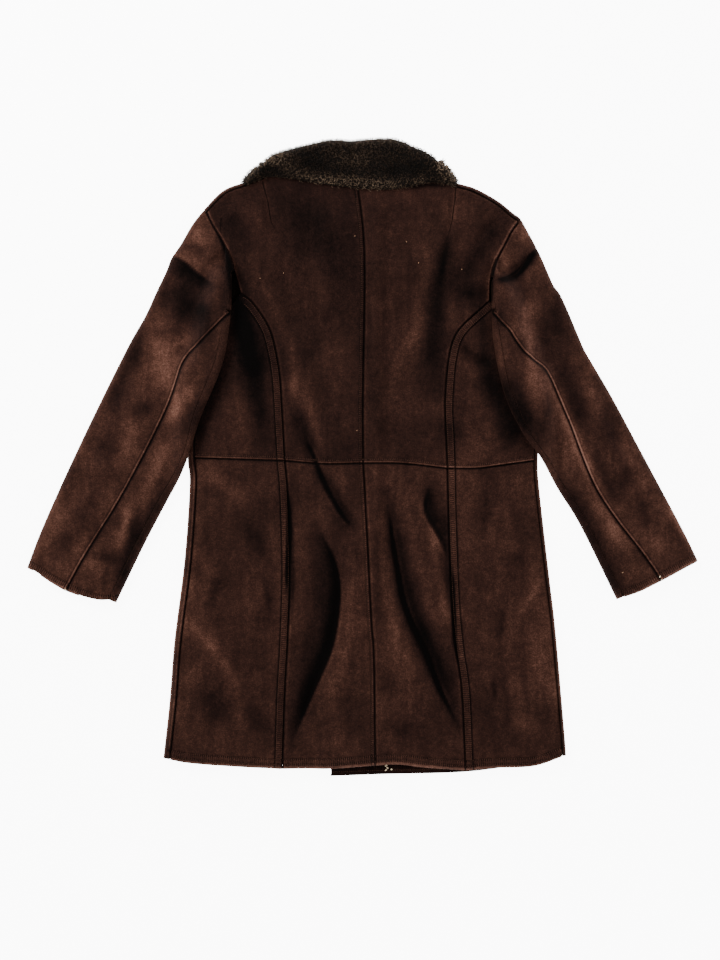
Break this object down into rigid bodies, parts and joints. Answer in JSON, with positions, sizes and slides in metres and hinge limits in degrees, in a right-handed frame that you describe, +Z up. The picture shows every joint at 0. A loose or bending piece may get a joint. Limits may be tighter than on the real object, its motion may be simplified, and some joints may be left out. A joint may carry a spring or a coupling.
{
  "type": "shearling coat laid flat",
  "caption": "Three-quarter length suede shearling coat with a curly fur collar, laid face down and flat with its sleeves out to the sides.",
  "frame": {"origin": "centre of the bounding box in plan, on the surface that the coat lies on", "axes": "+Z up from the surface and out of the coat's back, +Y towards the collar, -Y towards the hem, +X towards the sleeve on the viewer's right"},
  "size_m": [0.97, 0.9184, 0.0383],
  "materials": {
    "suede": "very dark brown napped suede, matt, with reddish lights",
    "fur": "short curly sheep's wool, dark brown with grey-tan tips"
  },
  "bodies": {
    "root": {"back_left": "suede", "back_right": "suede", "side_back_left": "suede", "side_back_right": "suede", "skirt_back_left": "suede", "skirt_back_right": "suede", "skirt_side_left": "suede", "skirt_side_right": "suede", "front_left": "suede", "front_right": "suede", "sleeve_top_left": "suede", "sleeve_top_right": "suede", "sleeve_under_left": "suede", "sleeve_under_right": "suede", "collar_left": "fur", "collar_right": "fur"}
  },
  "joints": []
}
